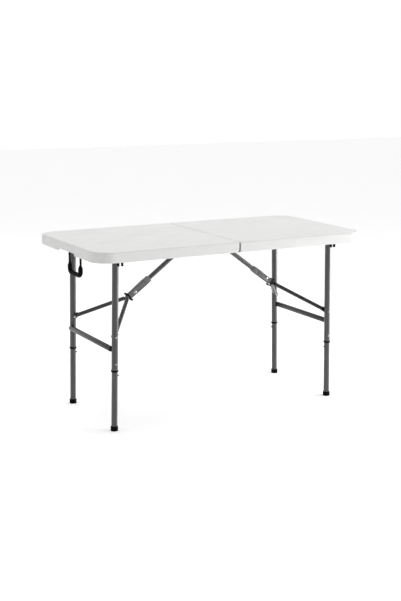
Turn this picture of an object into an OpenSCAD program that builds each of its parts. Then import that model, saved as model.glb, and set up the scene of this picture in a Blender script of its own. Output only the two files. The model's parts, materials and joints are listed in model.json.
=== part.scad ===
// Folding table with a top that folds in half, two folding leg frames,
// locking braces, telescopic legs and a carry handle. Millimetres, +Z up, X along the length.

/* [Top] */
// Length of the open top, left to right
table_length = 1220; // [1180:5:1240]
// Width of the top, front to back
table_width = 610; // [600:5:640]
// Height of the top face above the floor
table_height = 720; // [715:1:725]
// Depth of the moulded rim, top face to bottom edge
rim_depth = 41.5; // [40:0.5:44]
// Thickness of the moulded rim wall
rim_wall = 13; // [11:0.5:14]
// Thickness of the panel inside the rim
panel_thick = 7.5; // [6:0.5:8]
// Radius of the four outer corners, seen from above
corner_radius = 72; // [50:1:80]
// Radius of the rounded top edge
edge_radius = 8; // [5:0.5:9]
// Radius of the upright corners beside the seam
seam_radius = 5.5; // [4:0.5:8]
// Clear gap between the top edges of the two halves
seam_gap = 0.8; // [0.4:0.1:2]
// Radius of the lower corner of the left half beside the seam
seam_curl = 11; // [8:0.5:12]

/* [Legs] */
// Distance from the centre to a leg at floor level, along X
foot_x = 504; // [500:1:508]
// Distance from the centre line to a leg, along Y
leg_y = 207; // [195:1:210]
// Outward lean of the legs, in degrees
leg_lean = 1.094; // [0.8:0.05:1.4]
// Outer diameter of the upper leg tube
leg_od = 25.6; // [25.4:0.1:26]
// Outer diameter of the sliding lower tube
slider_od = 24.1; // [23.8:0.1:24.1]
// Height of the hinge axis at the top of the legs
leg_pivot_z = 696; // [694:0.5:697]
// Height of the collar at the bottom of the upper tube
collar_z = 236; // [225:1:245]
// Height of the spring button
button_z = 220; // [205:1:225]
// How far a lower tube slides up
slide_travel = 190; // [150:5:195]
// Height of the crossbar axis
crossbar_z = 326; // [315:1:335]
// Outer diameter of the crossbar
crossbar_od = 22; // [19:0.5:24]

/* [Brace] */
// X of the upper brace pivot
brace_pivot_x = 51; // [49:1:56]
// Height of the upper brace pivot
brace_pivot_z = 692; // [688:0.5:694]
// X of the knee rivet
knee_x = 314.5; // [312:0.5:318]
// Height of the knee rivet
knee_z = 497; // [495:0.5:500]
// Height at which the spread arms meet the legs
arm_z = 373; // [368:1:377]
// Diameter of the round brace tube
brace_od = 18.8; // [17:0.1:19]
// Diameter of a spread arm
arm_od = 16; // [14:0.5:16]
// Height of the brace channel at the knee
channel_h = 25.5; // [25:0.5:27]

/* [Handle] */
// X of the carry handle's hinge axis, measured from the centre
handle_x = 569; // [566:1:572]
// Height of the carry handle's hinge axis
handle_z = 683; // [682:0.5:684]
// Distance from the centre line to a handle strap
strap_y = 55; // [52:1:60]
// Diameter of the grip
grip_od = 18.4; // [16:0.2:20]

/* [Hidden] */
$fn = 48;
steel = [0.27, 0.27, 0.28];
bright = [0.72, 0.72, 0.72];
moulded = [0.9, 0.9, 0.89];
black = [0.04, 0.04, 0.04];

rim_z = table_height - rim_depth;
ceiling_z = table_height - panel_thick;
half_l = table_length / 2;
half_w = table_width / 2;

// hinge between the halves
fold_z = rim_z - 4.5;
knuckle_r = 4.3;
fold_pin_r = 2.5;
leaf_t = 2;
leaf_l = 46;
leaf_w = 60;
hinge_y = 150;

// steel rails under the panel
rail_y = 272;
rail_h = 20;

// legs
leg_bore = 24.2;
leg_top = 9;
slider_bore = 22.2;
slider_top = 300;
cap_od = 29.4;
cap_h = 18;
cap_floor = 5;
collar_od = 29;
collar_h = 7;
bar_r = 7;
bar_half = 251;
bracket_y = 243;
run = 0.05;
crossbar_out = 12;
pivot_x = foot_x - leg_pivot_z * tan(leg_lean);
button_r = 3;
button_out = 4;
button_in = 9;
guide_z = 267;
rivet_r = 2.5;

// brace, in its own (u, v) plane: u from the upper pivot to the knee
brace_run = [knee_x - brace_pivot_x, brace_pivot_z - knee_z];
brace_len = norm(brace_run);
brace_angle = atan2(brace_run[1], brace_run[0]);
channel_w = 21;
channel_t = 1.6;
channel_start = brace_len - 84;
channel_end = brace_len + 37;
channel_grip = 26;
ring_u = brace_len + 31;
ring_w = 5.5;
knee_pin_r = 3;
brace_pin_r = 4;

// spread arms, in their own (s, v) plane: s from the knee to the legs
arm_x = foot_x - arm_z * tan(leg_lean);
arm_run = [arm_x - knee_x, knee_z - arm_z];
arm_len = norm(arm_run);
arm_angle = atan2(arm_run[1], arm_run[0]);
leg_face_y = leg_y - leg_od / 2;
tab_t = 3;
tab_y = leg_face_y - 0.4;
yoke_h = 12;
yoke_w = 16;
yoke_end = 44;

// seam between the halves: below its top skin the seam widens for a black strip
seam_skin = 5;
seam_recess = 2.4;
strip_t = 4.4;

// hinge leaves
knuckle_n = 5;
knuckle_w = leaf_w / knuckle_n;

// carry handle
strap_w = 8.2;
strap_t = 5.6;
handle_pin_r = 3;
eye_r = 4.4;
grip_y = strap_y - 2.5;
grip_z = 583 + grip_od / 2;
grip_bend = 18;
lobe_z = 621;
flare_z = 634;

LEFT = -1;
RIGHT = 1;
FRONT = -1;
BACK = 1;

// ---- placing ----

// draws a right-hand piece, mirrored when it belongs to the left half
module on_side(side) {
    if (side == LEFT)
        mirror([1, 0, 0])
            children();
    else
        children();
}

// local Z runs up a leg of the right half, from the floor
module on_leg(end) {
    translate([foot_x, end * leg_y, 0])
        rotate([0, -leg_lean, 0])
            children();
}

// local X runs from the upper pivot to the knee, local Z stands square to it
module on_brace() {
    translate([brace_pivot_x, 0, brace_pivot_z])
        rotate([0, brace_angle, 0])
            children();
}

// local X runs from the knee to the legs
module on_arms() {
    translate([knee_x, 0, knee_z])
        rotate([0, arm_angle, 0])
            children();
}

module y_cylinder(radius, low, high) {
    translate([0, high, 0])
        rotate([90, 0, 0])
            cylinder(r = radius, h = high - low);
}

module x_cylinder(radius, low, high) {
    translate([low, 0, 0])
        rotate([0, 90, 0])
            cylinder(r = radius, h = high - low);
}

// ---- top ----

// an upright corner with a rounded top edge
module top_corner(radius) {
    edge = min(edge_radius, radius - 0.5);
    translate([0, 0, rim_z])
        cylinder(r1 = radius - 1.5, r2 = radius, h = 1.5);
    translate([0, 0, rim_z + 1.5])
        cylinder(r = radius, h = rim_depth - edge_radius - 1.5);
    translate([0, 0, table_height - edge_radius])
        rotate_extrude()
            intersection() {
                union() {
                    translate([radius - edge, 0])
                        scale([edge / edge_radius, 1])
                            circle(r = edge_radius);
                    square([max(radius - edge, 0.01), edge_radius]);
                }
                square([radius, edge_radius]);
            }
}

module top_body() {
    x0 = seam_gap / 2 + seam_radius;
    x1 = half_l - corner_radius;
    hull() {
        for (end = [FRONT, BACK]) {
            translate([x1, end * (half_w - corner_radius), 0])
                top_corner(corner_radius);
            translate([x0, end * (half_w - seam_radius), 0])
                top_corner(seam_radius);
        }
    }
}

// the hollow under the panel, ringed by the rim
module top_hollow() {
    inner_r = corner_radius - rim_wall;
    x0 = seam_gap / 2 + rim_wall;
    x1 = half_l - rim_wall;
    y1 = half_w - rim_wall;
    translate([0, 0, rim_z - 1]) {
        linear_extrude(ceiling_z - rim_z + 1) {
            translate([x0, -y1 + inner_r])
                square([x1 - x0, 2 * (y1 - inner_r)]);
            translate([x0, -y1])
                square([x1 - inner_r - x0, 2 * y1]);
            for (end = [FRONT, BACK])
                translate([x1 - inner_r, end * (y1 - inner_r)])
                    circle(r = inner_r);
        }
    }
}

// solid pads beside the seam that the hinge screws bite into
module hinge_pads() {
    for (end = [FRONT, BACK])
        translate([rim_wall, end * hinge_y - leaf_w / 2 - 4, rim_z])
            cube([leaf_l - rim_wall + 4, leaf_w + 8, ceiling_z - rim_z + 0.01]);
}

// shallow stiffening ribs across the underside
module top_ribs() {
    for (x = [150, 250, 350])
        translate([x - 4, -200, ceiling_z - 2])
            cube([8, 170, 2.01]);
    for (x = [150, 250, 350])
        translate([x - 4, 30, ceiling_z - 2])
            cube([8, 170, 2.01]);
}

module top_half(side) {
    notch_d = 9.5;
    notch_w = 176;
    color(moulded)
        on_side(side)
            difference() {
                union() {
                    difference() {
                        top_body();
                        top_hollow();
                    }
                    hinge_pads();
                    top_ribs();
                }
                if (side == LEFT)
                    translate([half_l - rim_wall - 5, -notch_w / 2, rim_z - 1])
                        cube([rim_wall + 10, notch_w, notch_d + 1]);
                seam_cut(side == LEFT ? seam_curl : 3);
            }
}

// widens the seam under its top skin and rounds the lower corner beside it
module seam_cut(corner) {
    wall_x = seam_gap / 2 + seam_recess;
    translate([-1, -half_w - 1, rim_z - 1])
        cube([wall_x + 1, table_width + 2, rim_depth - seam_skin + 1]);
    translate([wall_x, half_w + 1, rim_z])
        rotate([90, 0, 0])
            linear_extrude(table_width + 2)
                difference() {
                    translate([-0.5, -0.5])
                        square(corner + 0.5);
                    translate([corner, corner])
                        circle(r = corner);
                }
}

// black strip that fills the seam and curls under the corner of the left half
module seam_strip() {
    inset = 1.5;
    right_x = strip_t / 2;
    low = rim_z + 0.3;
    bend = seam_curl - 0.3;
    bend_x = -seam_gap / 2 - seam_recess - seam_curl;
    color(black)
        translate([0, half_w - inset, 0])
            rotate([90, 0, 0])
                linear_extrude(table_width - 2 * inset) {
                    translate([-strip_t / 2, low + bend])
                        square([strip_t, rim_depth - seam_skin - bend - 0.8]);
                    translate([bend_x, low + bend])
                        intersection() {
                            difference() {
                                circle(r = right_x - bend_x);
                                circle(r = seam_curl + 0.3);
                            }
                            translate([0, -bend])
                                square([2 * bend, bend]);
                        }
                }
}

module side_rails(side) {
    wide = 16;
    wall = 1.5;
    rail_x0 = 18;
    rail_x1 = 462;
    color(steel)
        on_side(side)
            for (end = [FRONT, BACK])
                translate([rail_x0, end * rail_y - wide / 2, ceiling_z - rail_h])
                    difference() {
                        cube([rail_x1 - rail_x0, wide, rail_h]);
                        translate([-1, wall, wall])
                            cube([rail_x1 - rail_x0 + 2, wide - 2 * wall, rail_h - 2 * wall]);
                    }
}

module pan_head(radius, high) {
    translate([0, 0, -high])
        cylinder(r1 = radius * 0.7, r2 = radius, h = high);
}

module screws(side) {
    color(bright)
        on_side(side) {
            for (end = [FRONT, BACK], x = [22, 38], dy = [-20, 20])
                translate([x, end * hinge_y + dy, rim_z - leaf_t])
                    pan_head(4.2, 1.6);
            for (end = [FRONT, BACK], x = [60, 190, 320, 440])
                translate([x, end * rail_y, ceiling_z - rail_h])
                    pan_head(4.5, 2);
        }
}

// ---- hinge across the seam ----

module hinge_leaves(side) {
    odd = side == RIGHT ? 1 : 0;
    color(steel)
        on_side(side)
            for (end = [FRONT, BACK])
                translate([0, end * hinge_y, 0]) {
                    difference() {
                        translate([0, -leaf_w / 2, rim_z - leaf_t])
                            cube([leaf_l, leaf_w, leaf_t]);
                        translate([-1, -leaf_w / 2 - 1, fold_z - 1])
                            cube([knuckle_r + 1.4, leaf_w + 2, knuckle_r + 3]);
                    }
                    for (k = [odd : 2 : knuckle_n - 1])
                        difference() {
                            translate([0, -leaf_w / 2 + k * knuckle_w + 0.3, 0])
                                union() {
                                    translate([0, 0, fold_z])
                                        y_cylinder(knuckle_r, 0, knuckle_w - 0.6);
                                    translate([0, 0, fold_z + 1])
                                        cube([knuckle_r + 1, knuckle_w - 0.6, 3.2]);
                                }
                            translate([0, 0, fold_z])
                                y_cylinder(fold_pin_r + run, -leaf_w, leaf_w);
                        }
                }
}

module hinge_pins() {
    color(bright)
        for (end = [FRONT, BACK])
            translate([0, end * hinge_y, fold_z]) {
                y_cylinder(fold_pin_r, -leaf_w / 2 - 1, leaf_w / 2 + 1);
                for (tip = [FRONT, BACK])
                    translate([0, tip * (leaf_w / 2 + 1.2), 0])
                        y_cylinder(3.6, -0.8, 0.8);
            }
}

// ---- leg frames ----

module pivot_brackets(side) {
    thick = 12;
    prong = 5;
    prong_x = [-10.9, 5.5];
    block_x = 11.5;
    block_low = leg_pivot_z - 10;
    prong_low = 654;
    color(black)
        on_side(side)
            for (end = [FRONT, BACK])
                difference() {
                    translate([pivot_x, end * bracket_y - thick / 2, 0]) {
                        translate([-block_x, 0, block_low])
                            cube([2 * block_x, thick, ceiling_z - block_low]);
                        translate([-block_x - 12, 0, ceiling_z - 3])
                            cube([2 * block_x + 24, thick, 3]);
                        for (x = prong_x)
                            translate([x - prong / 2, 0, prong_low])
                                cube([prong, thick, block_low - prong_low + 1]);
                    }
                    translate([pivot_x, 0, leg_pivot_z])
                        y_cylinder(bar_r + run, -bar_half - 9, bar_half + 9);
                }
}

module pivot_bar(side) {
    color(steel)
        on_side(side)
            translate([pivot_x, 0, leg_pivot_z])
                difference() {
                    y_cylinder(bar_r, -bar_half, bar_half);
                    y_cylinder(bar_r - 1.5, -bar_half - 1, bar_half + 1);
                }
}

module leg_tubes(side) {
    color(steel)
        on_side(side)
            difference() {
                for (end = [FRONT, BACK])
                    on_leg(end)
                        difference() {
                            translate([0, 0, collar_z + 3])
                                cylinder(d = leg_od, h = leg_pivot_z + leg_top - collar_z - 3);
                            translate([0, 0, collar_z - 1])
                                cylinder(d = leg_bore, h = leg_pivot_z);
                            translate([0, 0, button_z + slide_travel])
                                x_cylinder(button_r + 0.2, -leg_od, 0);
                            for (z = [arm_z, guide_z])
                                translate([0, 0, z])
                                    scale([1, end, 1])
                                        y_cylinder(rivet_r, 0, leg_od);
                        }
                translate([pivot_x, 0, leg_pivot_z])
                    y_cylinder(bar_r, -bar_half, bar_half);
            }
}

module crossbar(side) {
    reach = leg_y - 10.5;
    axis_x = foot_x - crossbar_z * tan(leg_lean) + crossbar_out;
    color(steel)
        on_side(side)
            difference() {
                translate([axis_x, 0, crossbar_z])
                    y_cylinder(crossbar_od / 2, -reach, reach);
                translate([axis_x, 0, crossbar_z])
                    y_cylinder(crossbar_od / 2 - 1.2, -leg_y + 20, leg_y - 20);
                for (end = [FRONT, BACK])
                    on_leg(end)
                        translate([0, 0, crossbar_z - 40])
                            cylinder(d = leg_od, h = 80);
            }
}

module leg_collars(side) {
    color(black)
        on_side(side)
            for (end = [FRONT, BACK])
                on_leg(end)
                    translate([0, 0, collar_z])
                        difference() {
                            cylinder(d = collar_od, h = collar_h);
                            translate([0, 0, -1])
                                cylinder(d = slider_od + 4 * run, h = collar_h + 2);
                            translate([0, 0, 3])
                                cylinder(d = leg_od, h = collar_h);
                        }
}

// rivet heads on the outer faces of the legs
module leg_rivets(side) {
    face = leg_od / 2;
    wall_in = leg_bore / 2 + 0.1;
    color(bright)
        on_side(side)
            for (end = [FRONT, BACK], z = [arm_z, guide_z])
                on_leg(end)
                    translate([0, 0, z])
                        scale([1, end, 1]) {
                            y_cylinder(rivet_r - run, wall_in, face + 1);
                            difference() {
                                translate([0, face - 2.2, 0])
                                    sphere(r = 5);
                                translate([0, 0, -10])
                                    cylinder(r = face + run, h = 20);
                            }
                        }
}

module leg_slider(side, end) {
    color(steel)
        on_side(side)
            on_leg(end)
                difference() {
                    translate([0, 0, cap_floor])
                        cylinder(d = slider_od, h = slider_top - cap_floor);
                    translate([0, 0, cap_floor - 1])
                        cylinder(d = slider_bore, h = slider_top);
                    translate([0, 0, button_z])
                        x_cylinder(button_r + 0.1, -leg_od, 0);
                }
}

module foot_cap(side, end) {
    color(black)
        on_side(side)
            intersection() {
                on_leg(end)
                    difference() {
                        union() {
                            translate([0, 0, -3])
                                cylinder(d = cap_od, h = cap_h + 1);
                            translate([0, 0, cap_h - 2])
                                cylinder(d1 = cap_od, d2 = cap_od - 3, h = 2);
                        }
                        translate([0, 0, cap_floor])
                            cylinder(d = slider_od, h = cap_h);
                    }
                translate([foot_x, end * leg_y, 20])
                    cube([60, 60, 40], center = true);
            }
}

module leg_button(side, end) {
    color(black)
        on_side(side)
            on_leg(end)
                translate([0, 0, button_z]) {
                    x_cylinder(button_r, -slider_od / 2 - button_out + 1, -button_in);
                    translate([-slider_od / 2 - button_out + 1, 0, 0])
                        intersection() {
                            sphere(r = button_r);
                            translate([-5, 0, 0])
                                cube([10, 10, 10], center = true);
                        }
                }
}

// a bent leaf inside the lower tube that pushes the button out
module button_spring(side, end) {
    leaf = 0.8;
    leaf_high = 10;
    low = button_z - 34;
    bend_r = button_in - leaf;
    color(bright)
        on_side(side)
            on_leg(end)
                translate([0, 4, low])
                    rotate([90, 0, 0])
                        linear_extrude(8) {
                            for (s = [-1, 1])
                                translate([s > 0 ? bend_r : -button_in, 0])
                                    square([leaf, 34 + leaf_high]);
                            difference() {
                                circle(r = button_in);
                                circle(r = bend_r);
                                translate([-button_in, 0])
                                    square(2 * button_in);
                            }
                        }
}

// ---- braces ----

module brace_bracket(side) {
    ear_in = 10.4;
    ear_t = 2.5;
    base_t = 3;
    color(steel)
        on_side(side)
            translate([brace_pivot_x, 0, 0])
                difference() {
                    union() {
                        translate([-22, -30, ceiling_z - base_t])
                            cube([44, 60, base_t]);
                        for (s = [-1, 1])
                            translate([0, s * (ear_in + ear_t / 2), 0]) {
                                translate([0, 0, brace_pivot_z])
                                    y_cylinder(11, -ear_t / 2, ear_t / 2);
                                translate([-11, -ear_t / 2, brace_pivot_z])
                                    cube([22, ear_t, ceiling_z - brace_pivot_z]);
                            }
                    }
                    translate([0, 0, brace_pivot_z])
                        y_cylinder(brace_pin_r, -20, 20);
                }
}

module brace_pin(side) {
    color(bright)
        on_side(side)
            translate([brace_pivot_x, 0, brace_pivot_z]) {
                y_cylinder(brace_pin_r, -14.5, 14.5);
                for (s = [-1, 1])
                    translate([0, s * 13.9, 0])
                        y_cylinder(6.5, -1, 1);
            }
}

module brace_tube(side) {
    tip = 9;
    color(steel)
        on_side(side)
            on_brace()
                difference() {
                    x_cylinder(brace_od / 2, -tip, channel_start + channel_grip);
                    x_cylinder(brace_od / 2 - 1.5, 16, channel_start + channel_grip + 4);
                    y_cylinder(brace_pin_r + run, -20, 20);
                }
}

// a folded channel that grips the tube and holds the knee rivet
module brace_channel(side) {
    top_v = channel_h / 2;
    neck_v = brace_od / 2 + 1.2;
    flare_u = channel_start + 28;
    hole_u = brace_len - 58;
    hole_r = 3;
    color(steel)
        on_side(side)
            on_brace()
                difference() {
                    translate([0, channel_w / 2, 0])
                        rotate([90, 0, 0])
                            linear_extrude(channel_w)
                                polygon([[channel_start, -neck_v], [flare_u, -top_v],
                                         [channel_end, -top_v], [channel_end, top_v],
                                         [flare_u, top_v], [channel_start, neck_v]]);
                    translate([0, channel_w / 2 - channel_t, 0])
                        rotate([90, 0, 0])
                            linear_extrude(channel_w - 2 * channel_t)
                                polygon([[channel_start - 1, -top_v - 9], [channel_end + 1, -top_v - 9],
                                         [channel_end + 1, top_v - channel_t],
                                         [flare_u, top_v - channel_t],
                                         [channel_start - 1, neck_v - channel_t]]);
                    x_cylinder(brace_od / 2 + run, channel_start - 1, channel_start + channel_grip);
                    translate([brace_len, 0, 0])
                        y_cylinder(knee_pin_r, -20, 20);
                    translate([hole_u, 0, 0])
                        y_cylinder(hole_r, -20, 20);
                }
}

// a pin with a domed head on each outer face of the channel
module knee_rivet(side) {
    face = channel_w / 2;
    head_r = 7;
    head_h = 2.2;
    dome_r = (head_r * head_r + head_h * head_h) / (2 * head_h);
    color(bright)
        on_side(side)
            on_brace()
                translate([brace_len, 0, 0]) {
                    y_cylinder(knee_pin_r - run, -face - 0.5, face + 0.5);
                    for (s = [-1, 1])
                        scale([1, s, 1])
                            intersection() {
                                translate([0, face + head_h - dome_r, 0])
                                    sphere(r = dome_r, $fn = 96);
                                y_cylinder(head_r, face, face + head_h + 1);
                            }
                }
}

// a sliding loop with a lip that points down the brace above and up the brace below
module lock_ring(side) {
    open_v = channel_h / 2 + 0.6;
    open_y = channel_w / 2 + 2.8;
    band_v = 4.2;
    band_y = 2.6;
    lip = 3;
    lip_v = band_v - 1;
    color(black)
        on_side(side)
            on_brace()
                translate([ring_u, 0, 0])
                    difference() {
                        union() {
                            translate([-ring_w / 2, -open_y - band_y, -open_v - band_v])
                                cube([ring_w, 2 * (open_y + band_y), 2 * (open_v + band_v)]);
                            for (s = [-1, 1])
                                scale([s, 1, s])
                                    translate([0, -open_y - band_y, open_v + 1])
                                        cube([ring_w / 2 + lip, 2 * (open_y + band_y), lip_v]);
                        }
                        translate([-ring_w, -open_y, -open_v])
                            cube([2 * ring_w, 2 * open_y, 2 * open_v]);
                    }
}

// ---- spread arms ----

module arm_yoke(side) {
    color(steel)
        on_side(side)
            on_arms()
                difference() {
                    union() {
                        y_cylinder(yoke_h / 2, -yoke_w / 2, yoke_w / 2);
                        translate([0, -yoke_w / 2, -yoke_h / 2])
                            cube([yoke_end, yoke_w, yoke_h]);
                    }
                    y_cylinder(knee_pin_r + run, -20, 20);
                }
}

// one arm, from the yoke out to the flattened tab on the leg's inner face
module spread_arm(side, end) {
    from = [yoke_end - 2, end * 9];
    to = [arm_len - 17, end * (tab_y - 8.5)];
    way = to - from;
    turn = atan2(way[1], way[0]);
    taper = 10;
    tab_h = 18;
    tab_mid = end * (tab_y - tab_t / 2);
    color(steel)
        on_side(side)
            on_arms()
                difference() {
                    union() {
                        difference() {
                            translate([from[0], from[1], 0])
                                rotate([0, 0, turn]) {
                                    x_cylinder(arm_od / 2, 0, norm(way));
                                    translate([norm(way), 0, 0])
                                        rotate([0, 90, 0])
                                            cylinder(d1 = arm_od, d2 = 3, h = taper);
                                }
                            translate([yoke_end - 40, -30, -20])
                                cube([40, 60, 40]);
                        }
                        translate([arm_len, tab_mid, 0])
                            y_cylinder(tab_h / 2, -tab_t / 2, tab_t / 2);
                        translate([arm_len - 22, tab_mid - tab_t / 2, -tab_h / 2])
                            cube([22, tab_t, tab_h]);
                    }
                    translate([arm_len, 0, 0])
                        scale([1, end, 1])
                            y_cylinder(rivet_r, 0, leg_y);
                }
}

module arm_rivets(side) {
    inner = tab_y - tab_t;
    color(bright)
        on_side(side)
            on_arms()
                for (end = [FRONT, BACK])
                    translate([arm_len, 0, 0])
                        scale([1, end, 1]) {
                            y_cylinder(rivet_r - run, inner, tab_y);
                            y_cylinder(2 * rivet_r, inner - 2, inner);
                        }
}

// ---- carry handle, on the left end ----

module handle() {
    grip_r = grip_od / 2;
    bend_y = grip_y - grip_bend;
    bend_z = grip_z + grip_bend;
    color(black)
        translate([-handle_x, 0, 0])
            difference() {
                union() {
                    translate([0, 0, grip_z])
                        y_cylinder(grip_r, -bend_y, bend_y);
                    for (end = [FRONT, BACK])
                        scale([1, end, 1]) {
                            translate([0, bend_y, bend_z])
                                rotate([0, 90, 0])
                                    rotate_extrude(angle = 90)
                                        translate([grip_bend, 0])
                                            circle(r = grip_r);
                            translate([0, grip_y, bend_z])
                                cylinder(r = grip_r, h = lobe_z - bend_z);
                            translate([0, grip_y, lobe_z])
                                cylinder(r1 = grip_r, r2 = strap_w / 2, h = flare_z - lobe_z);
                            translate([-strap_t / 2, strap_y - strap_w / 2, flare_z - 6])
                                cube([strap_t, strap_w, handle_z - flare_z + 6]);
                            translate([0, strap_y, handle_z])
                                y_cylinder(eye_r, -strap_w / 2, strap_w / 2);
                        }
                }
                translate([0, 0, handle_z])
                    y_cylinder(handle_pin_r + run, -90, 90);
            }
}

module handle_clips() {
    ear_t = 4;
    ear_in = strap_w / 2 + 0.4;
    color(black)
        translate([-handle_x, 0, 0])
            for (end = [-1, 1])
                translate([0, end * strap_y, 0]) {
                    translate([-10, -14, ceiling_z - 3])
                        cube([20, 28, 3]);
                    for (s = [-1, 1])
                        translate([0, s * (ear_in + ear_t / 2), 0]) {
                            translate([-6, -ear_t / 2, handle_z])
                                cube([12, ear_t, ceiling_z - handle_z]);
                            translate([0, 0, handle_z])
                                y_cylinder(6, -ear_t / 2, ear_t / 2);
                        }
                    translate([0, 0, handle_z])
                        y_cylinder(handle_pin_r, -ear_in - 1, ear_in + 1);
                }
}

top_half(LEFT);  // top_left
top_half(RIGHT);  // top_right
side_rails(LEFT);  // side_rails_left
side_rails(RIGHT);  // side_rails_right
screws(LEFT);  // screws_left
screws(RIGHT);  // screws_right
pivot_brackets(LEFT);  // pivot_brackets_left
pivot_brackets(RIGHT);  // pivot_brackets_right
brace_bracket(LEFT);  // brace_bracket_left
brace_bracket(RIGHT);  // brace_bracket_right
brace_pin(LEFT);  // brace_pin_left
brace_pin(RIGHT);  // brace_pin_right
hinge_leaves(LEFT);  // hinge_leaves_left
hinge_leaves(RIGHT);  // hinge_leaves_right
hinge_pins();
seam_strip();
handle();
handle_clips();
leg_tubes(LEFT);  // leg_tubes_left
leg_tubes(RIGHT);  // leg_tubes_right
pivot_bar(LEFT);  // pivot_bar_left
pivot_bar(RIGHT);  // pivot_bar_right
crossbar(LEFT);  // crossbar_left
crossbar(RIGHT);  // crossbar_right
leg_collars(LEFT);  // leg_collars_left
leg_collars(RIGHT);  // leg_collars_right
leg_rivets(LEFT);  // leg_rivets_left
leg_rivets(RIGHT);  // leg_rivets_right
brace_tube(LEFT);  // brace_tube_left
brace_tube(RIGHT);  // brace_tube_right
brace_channel(LEFT);  // brace_channel_left
brace_channel(RIGHT);  // brace_channel_right
knee_rivet(LEFT);  // knee_rivet_left
knee_rivet(RIGHT);  // knee_rivet_right
lock_ring(LEFT);  // lock_ring_left
lock_ring(RIGHT);  // lock_ring_right
arm_yoke(LEFT);  // arm_yoke_left
arm_yoke(RIGHT);  // arm_yoke_right
spread_arm(LEFT, FRONT);  // front_arm_left
spread_arm(RIGHT, FRONT);  // front_arm_right
spread_arm(LEFT, BACK);  // back_arm_left
spread_arm(RIGHT, BACK);  // back_arm_right
arm_rivets(LEFT);  // arm_rivets_left
arm_rivets(RIGHT);  // arm_rivets_right
leg_slider(LEFT, FRONT);  // leg_slider_front_left
leg_slider(LEFT, BACK);  // leg_slider_back_left
leg_slider(RIGHT, FRONT);  // leg_slider_front_right
leg_slider(RIGHT, BACK);  // leg_slider_back_right
foot_cap(LEFT, FRONT);  // foot_cap_front_left
foot_cap(LEFT, BACK);  // foot_cap_back_left
foot_cap(RIGHT, FRONT);  // foot_cap_front_right
foot_cap(RIGHT, BACK);  // foot_cap_back_right
leg_button(LEFT, FRONT);  // leg_button_front_left
leg_button(LEFT, BACK);  // leg_button_back_left
leg_button(RIGHT, FRONT);  // leg_button_front_right
leg_button(RIGHT, BACK);  // leg_button_back_right
button_spring(LEFT, FRONT);  // button_spring_front_left
button_spring(LEFT, BACK);  // button_spring_back_left
button_spring(RIGHT, FRONT);  // button_spring_front_right
button_spring(RIGHT, BACK);  // button_spring_back_right
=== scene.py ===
import json
import math

import bmesh
import bpy
from mathutils import Matrix, Vector


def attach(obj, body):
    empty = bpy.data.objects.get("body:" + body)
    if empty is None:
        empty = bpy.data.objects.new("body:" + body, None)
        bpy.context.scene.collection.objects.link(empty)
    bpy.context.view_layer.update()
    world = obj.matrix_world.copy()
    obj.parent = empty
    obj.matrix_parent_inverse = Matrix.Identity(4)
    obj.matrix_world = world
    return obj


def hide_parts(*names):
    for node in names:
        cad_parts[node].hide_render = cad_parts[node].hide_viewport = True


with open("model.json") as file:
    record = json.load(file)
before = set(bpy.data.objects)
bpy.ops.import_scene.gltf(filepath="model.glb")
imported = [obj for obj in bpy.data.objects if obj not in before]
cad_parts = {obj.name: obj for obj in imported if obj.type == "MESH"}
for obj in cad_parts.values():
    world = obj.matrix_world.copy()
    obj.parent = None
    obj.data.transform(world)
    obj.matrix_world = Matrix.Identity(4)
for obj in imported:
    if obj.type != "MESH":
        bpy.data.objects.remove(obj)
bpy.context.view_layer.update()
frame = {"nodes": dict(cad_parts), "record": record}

scene = bpy.context.scene
nodes = frame["nodes"]
body_of_node = {n: b for b, names in frame["record"]["behaviour"]["bodies"].items() for n in names}
slot_of_node = {p["node"]: p["material_slot"] for p in frame["record"]["subparts"]}
SIDES = ("left", "right")
MM = 0.001


# ---------------------------------------------------------------- materials

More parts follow.
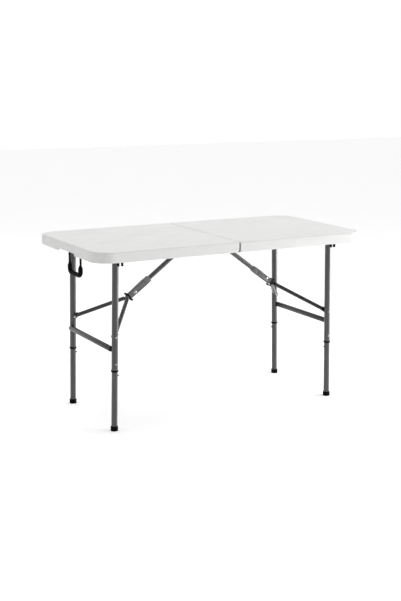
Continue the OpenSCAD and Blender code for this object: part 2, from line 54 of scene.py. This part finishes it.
class Shader:
    """A small helper that builds one procedural material node by node."""

    def __init__(self, name):
        self.material = bpy.data.materials.new(name)
        self.material.use_nodes = True
        self.tree = self.material.node_tree
        self.bsdf = self.tree.nodes["Principled BSDF"]
        self.coords = self.tree.nodes.new("ShaderNodeTexCoord").outputs["Object"]

    def set(self, **values):
        for name, value in values.items():
            self.bsdf.inputs[name.replace("_", " ")].default_value = value
        return self

    def link(self, a, b):
        self.tree.links.new(a, b)

    def noise(self, scale, detail=3.0, roughness=0.5, stretch=None):
        node = self.tree.nodes.new("ShaderNodeTexNoise")
        node.inputs["Scale"].default_value = scale
        node.inputs["Detail"].default_value = detail
        node.inputs["Roughness"].default_value = roughness
        source = self.coords
        if stretch:
            mapping = self.tree.nodes.new("ShaderNodeMapping")
            mapping.inputs["Scale"].default_value = stretch
            self.link(source, mapping.inputs["Vector"])
            source = mapping.outputs["Vector"]
        self.link(source, node.inputs["Vector"])
        return node.outputs["Fac"]

    def cells(self, scale):
        node = self.tree.nodes.new("ShaderNodeTexVoronoi")
        node.feature = "SMOOTH_F1"
        node.inputs["Scale"].default_value = scale
        self.link(self.coords, node.inputs["Vector"])
        return node.outputs["Distance"]

    def spread(self, value, low, high, from_low=0.3, from_high=0.7):
        node = self.tree.nodes.new("ShaderNodeMapRange")
        node.inputs["From Min"].default_value = from_low
        node.inputs["From Max"].default_value = from_high
        node.inputs["To Min"].default_value = low
        node.inputs["To Max"].default_value = high
        self.link(value, node.inputs["Value"])
        return node.outputs["Result"]

    def blend_colours(self, value, stops):
        node = self.tree.nodes.new("ShaderNodeValToRGB")
        ramp = node.color_ramp
        while len(ramp.elements) < len(stops):
            ramp.elements.new(0.5)
        for element, (place, colour) in zip(ramp.elements, stops):
            element.position = place
            element.color = (*colour, 1.0)
        self.link(value, node.inputs["Fac"])
        return node.outputs["Color"]

    def mix(self, value, a, b):
        node = self.tree.nodes.new("ShaderNodeMix")
        node.data_type = "RGBA"
        self.link(value, node.inputs["Factor"])
        self.link(a, node.inputs["A"])
        self.link(b, node.inputs["B"])
        return node.outputs["Result"]

    def bump(self, layers):
        """layers: (height, strength, distance in metres), chained."""
        last = None
        for height, strength, distance in layers:
            node = self.tree.nodes.new("ShaderNodeBump")
            node.inputs["Strength"].default_value = strength
            node.inputs["Distance"].default_value = distance
            self.link(height, node.inputs["Height"])
            if last:
                self.link(last, node.inputs["Normal"])
            last = node.outputs["Normal"]
        self.link(last, self.bsdf.inputs["Normal"])
        return self

    def edges(self, radius=0.003):
        """0 on flat faces, 1 along edges, from how far a rounded normal leans away."""
        bevel = self.tree.nodes.new("ShaderNodeBevel")
        bevel.samples = 4
        bevel.inputs["Radius"].default_value = radius
        geometry = self.tree.nodes.new("ShaderNodeNewGeometry")
        dot = self.tree.nodes.new("ShaderNodeVectorMath")
        dot.operation = "DOT_PRODUCT"
        self.link(bevel.outputs["Normal"], dot.inputs[0])
        self.link(geometry.outputs["Normal"], dot.inputs[1])
        return self.spread(dot.outputs["Value"], 1.0, 0.0, 0.80, 0.99)


def moulded_white():
    """Blow-moulded polyethylene with a fine leather grain and a faint mottling."""
    s = Shader("white_plastic").set(Specular_IOR_Level=0.4, IOR=1.5)
    tone = s.blend_colours(
        s.noise(7, 4),
        [(0.30, (0.690, 0.690, 0.682)), (0.70, (0.725, 0.725, 0.718))],
    )
    scuff = s.blend_colours(
        s.noise(55, 5, 0.65),
        [(0.60, (0.0, 0.0, 0.0)), (0.80, (1.0, 1.0, 1.0))],
    )
    dull = s.tree.nodes.new("ShaderNodeRGB")
    dull.outputs[0].default_value = (0.66, 0.66, 0.65, 1)
    s.link(s.mix(scuff, tone, dull.outputs[0]), s.bsdf.inputs["Base Color"])
    s.link(s.spread(s.noise(26, 4), 0.40, 0.56), s.bsdf.inputs["Roughness"])
    s.bump([
        (s.noise(9, 2), 0.10, 0.0012),
        (s.cells(620), 0.22, 0.00025),
        (s.noise(1500, 2), 0.10, 0.0001),
    ])
    return s.material


def powder_grey(name="grey_steel", level=0.022, coat=1.0):
    """Grey powder coat: slight orange peel, rubbed brighter along the edges."""
    s = Shader(name).set(Metallic=0.2, Coat_Weight=coat, Coat_Roughness=0.30)
    tone = s.blend_colours(
        s.noise(38, 5, 0.6),
        [
            (0.30, (level * 0.73, level * 0.77, level * 0.82)),
            (0.72, (level * 1.27, level * 1.32, level * 1.41)),
        ],
    )
    rubbed = s.tree.nodes.new("ShaderNodeRGB")
    rubbed.outputs[0].default_value = (level * 2.5, level * 2.5, level * 2.6, 1)
    s.link(s.mix(s.edges(), tone, rubbed.outputs[0]), s.bsdf.inputs["Base Color"])
    s.link(s.spread(s.noise(60, 4), 0.34, 0.50), s.bsdf.inputs["Roughness"])
    s.bump([
        (s.cells(780), 0.20, 0.0002),
        (s.noise(240, 3), 0.12, 0.0003),
    ])
    return s.material


def moulded_black(name="black_plastic", low=0.52, high=0.70, level=0.0025):
    """Satin black moulding with a fine spark-eroded texture."""
    s = Shader(name).set(IOR=1.48, Specular_IOR_Level=0.06)
    tone = s.blend_colours(
        s.noise(70, 4),
        [(0.3, (level * 0.8,) * 3), (0.7, (level * 1.5,) * 3)],
    )
    s.link(tone, s.bsdf.inputs["Base Color"])
    s.link(s.spread(s.noise(110, 3), low, high), s.bsdf.inputs["Roughness"])
    s.bump([
        (s.noise(1400, 3), 0.16, 0.00015),
        (s.noise(130, 2), 0.08, 0.0004),
    ])
    return s.material


def zinc():
    """Bright zinc plate with fine turning marks."""
    s = Shader("zinc").set(Metallic=1.0)
    tone = s.blend_colours(
        s.noise(150, 4),
        [(0.3, (0.26, 0.26, 0.27)), (0.7, (0.42, 0.42, 0.42))],
    )
    s.link(tone, s.bsdf.inputs["Base Color"])
    s.link(s.spread(s.noise(420, 3), 0.24, 0.42), s.bsdf.inputs["Roughness"])
    s.bump([(s.noise(900, 2, 0.5, (1, 6, 1)), 0.12, 0.0001)])
    return s.material


MATERIALS = {
    "white_plastic": moulded_white(),
    "grey_steel": powder_grey(),
    # painted shade: the same grey powder coat made darker for the crossbars and arms, standing in
    # for the shade they lie in
    "painted_shade_steel": powder_grey("painted_shade_steel", 0.012, 0.35),
    # painted light: the same grey powder coat made lighter for the brace channels and yokes,
    # standing in for the light that falls on them
    "painted_light_steel": powder_grey("painted_light_steel", 0.060, 1.0),
    "black_plastic": moulded_black(),
    "foot_plastic": moulded_black("foot_plastic", 0.60, 0.76, 0.003),
    "zinc": zinc(),
}


def paint(obj, slot):
    obj.data.materials.clear()
    obj.data.materials.append(MATERIALS[slot])


def smooth(obj, angle=35):
    """Rounds the shading of curved walls and keeps real corners crisp."""
    for polygon in obj.data.polygons:
        polygon.use_smooth = True
    mesh = bmesh.new()
    mesh.from_mesh(obj.data)
    for edge in mesh.edges:
        edge.smooth = len(edge.link_faces) == 2 and edge.calc_face_angle(0) < math.radians(angle)
    mesh.to_mesh(obj.data)
    mesh.free()


# painted shade: these parts get the grey steel made darker, standing in for the shade they lie in
PAINTED_SHADE_PARTS = ("crossbar", "front_arm", "back_arm")
# painted light: these parts get the grey steel made lighter, standing in for the light that falls
# on them
PAINTED_LIGHT_PARTS = ("brace_channel", "arm_yoke")


def finish_of(node):
    """The material of a node: its record slot, with the grey steel painted darker as shade on the
    crossbars and arms and lighter as light on the brace channels and yokes.
    """
    if node.startswith(PAINTED_SHADE_PARTS):
        return "painted_shade_steel"
    if node.startswith(PAINTED_LIGHT_PARTS):
        return "painted_light_steel"
    return slot_of_node[node]


for name, obj in nodes.items():
    paint(obj, finish_of(name))


# ---------------------------------------------------------------- rounded pieces

# the brace line of the right half, as x and z
BRACE_PIVOT = Vector((51, 692)) * MM
KNEE = Vector((314.5, 497)) * MM
CHANNEL_BEFORE_KNEE = 84 * MM
CHANNEL_START = (KNEE - BRACE_PIVOT).length - CHANNEL_BEFORE_KNEE
CHANNEL_LENGTH = 121 * MM
CHANNEL_TAPER = 0.22
WELD_DISTANCE = 0.01 * MM
SHARP_EDGE = math.radians(40)


def taper_channel(mesh, side):
    """Narrows a brace channel in height from the tube towards the knee."""
    mirror = -1 if side == "left" else 1
    along = (KNEE - BRACE_PIVOT).normalized()
    across = Vector((-along.y, along.x))
    for vert in mesh.verts:
        offset = Vector((vert.co.x * mirror, vert.co.z)) - BRACE_PIVOT
        u, v = offset.dot(along), offset.dot(across)
        share = min(max((u - CHANNEL_START) / CHANNEL_LENGTH, 0), 1)
        place = BRACE_PIVOT + along * u + across * v * (1 - CHANNEL_TAPER * share)
        vert.co.x, vert.co.z = place.x * mirror, place.y


def rounded_copy(node, width, segments=2):
    """A copy of a CAD node with its sharp edges broken, which then stands for it."""
    source = nodes[node]
    mesh = bmesh.new()
    mesh.from_mesh(source.data)
    bmesh.ops.remove_doubles(mesh, verts=mesh.verts, dist=WELD_DISTANCE)
    if node.startswith("brace_channel"):
        taper_channel(mesh, node.rsplit("_", 1)[1])
    data = bpy.data.meshes.new(node + "_finished")
    mesh.to_mesh(data)
    mesh.free()
    piece = bpy.data.objects.new(node + "_finished", data)
    scene.collection.objects.link(piece)
    bevel = piece.modifiers.new("edges", "BEVEL")
    bevel.width = width
    bevel.segments = segments
    bevel.limit_method = "ANGLE"
    bevel.angle_limit = SHARP_EDGE
    bevel.use_clamp_overlap = True
    apply_modifiers(piece)
    smooth(piece, 50)
    stand_for(piece, node)
    return piece


def apply_modifiers(piece):
    graph = bpy.context.evaluated_depsgraph_get()
    data = bpy.data.meshes.new_from_object(piece.evaluated_get(graph))
    piece.modifiers.clear()
    piece.data = data


def stand_for(piece, node):
    paint(piece, finish_of(node))
    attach(piece, body_of_node[node])
    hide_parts(node)


# bevel widths in millimetres, for the pieces whose edges are broken
SOFT_EDGES = {
    "brace_channel": 0.7,
    "lock_ring": 1.0,
    "brace_bracket": 0.8,
    "hinge_leaves": 0.6,
    "side_rails": 0.8,
    "pivot_brackets": 0.9,
    "leg_collars": 0.8,
    "crossbar": 0.5,
}
for stem, width in SOFT_EDGES.items():
    for side in SIDES:
        rounded_copy(f"{stem}_{side}", width * MM)


# ---------------------------------------------------------------- camera

CAMERA_PLACE = Vector((-2.228, -3.982, 1.390))
CAMERA_TURN = (math.radians(90 - 11.89), math.radians(-29.16), math.radians(0.26))
LENS_MM = 66.55
SENSOR_MM = 36
VIEW_END = 50


def make_camera():
    data = bpy.data.cameras.new("camera")
    data.lens = LENS_MM
    data.sensor_width = SENSOR_MM
    data.clip_end = VIEW_END
    camera = bpy.data.objects.new("camera", data)
    tilt, turn, roll = CAMERA_TURN
    camera.matrix_world = (
        Matrix.Translation(CAMERA_PLACE)
        @ Matrix.Rotation(turn, 4, "Z")
        @ Matrix.Rotation(tilt, 4, "X")
        @ Matrix.Rotation(roll, 4, "Z")
    )
    scene.collection.objects.link(camera)
    scene.camera = camera


# ---------------------------------------------------------------- studio

NEAR_WALL = 0.45
LEFT_WALL = 0.72
KEY_POWER = 42
SIDE_POWER = 66
TOP_POWER = 24
FLOOR_GLOW = 0.24
FLOOR_SIZE = 14
FLOOR_DROP = 0.5 * MM


def make_floor():
    mesh = bmesh.new()
    bmesh.ops.create_grid(mesh, x_segments=1, y_segments=1, size=FLOOR_SIZE)
    data = bpy.data.meshes.new("floor")
    mesh.to_mesh(data)
    mesh.free()
    floor = bpy.data.objects.new("floor", data)
    floor.location = (0, 0, -FLOOR_DROP)
    scene.collection.objects.link(floor)
    s = Shader("floor").set(Roughness=0.9, Specular_IOR_Level=0.1)
    tone = s.blend_colours(s.noise(3, 2), [(0.3, (0.93,) * 3), (0.7, (0.95,) * 3)])
    s.link(tone, s.bsdf.inputs["Base Color"])
    s.set(Emission_Color=(1, 1, 1, 1), Emission_Strength=FLOOR_GLOW)
    floor.data.materials.append(s.material)


def area_light(name, place, aim, size, power):
    data = bpy.data.lights.new(name, "AREA")
    data.shape = "RECTANGLE"
    data.size, data.size_y = size
    data.energy = power
    light = bpy.data.objects.new(name, data)
    light.location = place
    light.rotation_euler = (Vector(aim) - Vector(place)).to_track_quat("-Z", "Y").to_euler()
    scene.collection.objects.link(light)


def make_world():
    """A white studio: full white overhead and behind the table, softer in front and on the left."""
    world = bpy.data.worlds.new("studio")
    world.use_nodes = True
    tree = world.node_tree
    coords = tree.nodes.new("ShaderNodeTexCoord")
    split = tree.nodes.new("ShaderNodeSeparateXYZ")
    tree.links.new(coords.outputs["Generated"], split.inputs["Vector"])
    strength = []
    for axis, low, start, end in (("Y", NEAR_WALL, -0.75, 0.25), ("X", LEFT_WALL, -0.8, 0.0)):
        ramp = tree.nodes.new("ShaderNodeMapRange")
        ramp.interpolation_type = "SMOOTHSTEP"
        ramp.inputs["From Min"].default_value = start
        ramp.inputs["From Max"].default_value = end
        ramp.inputs["To Min"].default_value = low
        ramp.inputs["To Max"].default_value = 1.0
        tree.links.new(split.outputs[axis], ramp.inputs["Value"])
        strength.append(ramp.outputs["Result"])
    both = tree.nodes.new("ShaderNodeMath")
    both.operation = "MULTIPLY"
    tree.links.new(strength[0], both.inputs[0])
    tree.links.new(strength[1], both.inputs[1])
    background = tree.nodes["Background"]
    background.inputs["Color"].default_value = (1, 1, 1, 1)
    tree.links.new(both.outputs["Value"], background.inputs["Strength"])
    scene.world = world


def make_light():
    make_world()
    middle = (0, 0, 0.5)
    area_light("key", (3.4, -3.0, 2.2), middle, (0.5, 2.4), KEY_POWER)
    area_light("side", (2.9, -0.9, 0.62), middle, (1.2, 1.1), SIDE_POWER)
    area_light("top", (0, 0.4, 3.4), (0, 0, 0.7), (3.0, 2.0), TOP_POWER)
    scene.view_settings.view_transform = "Standard"
    scene.view_settings.look = "None"


make_camera()
make_floor()
make_light()

TOP_CREASE = 30
for name, obj in nodes.items():
    if not name.startswith("top_"):
        smooth(obj)
smooth(nodes["top_left"], TOP_CREASE)
smooth(nodes["top_right"], TOP_CREASE)
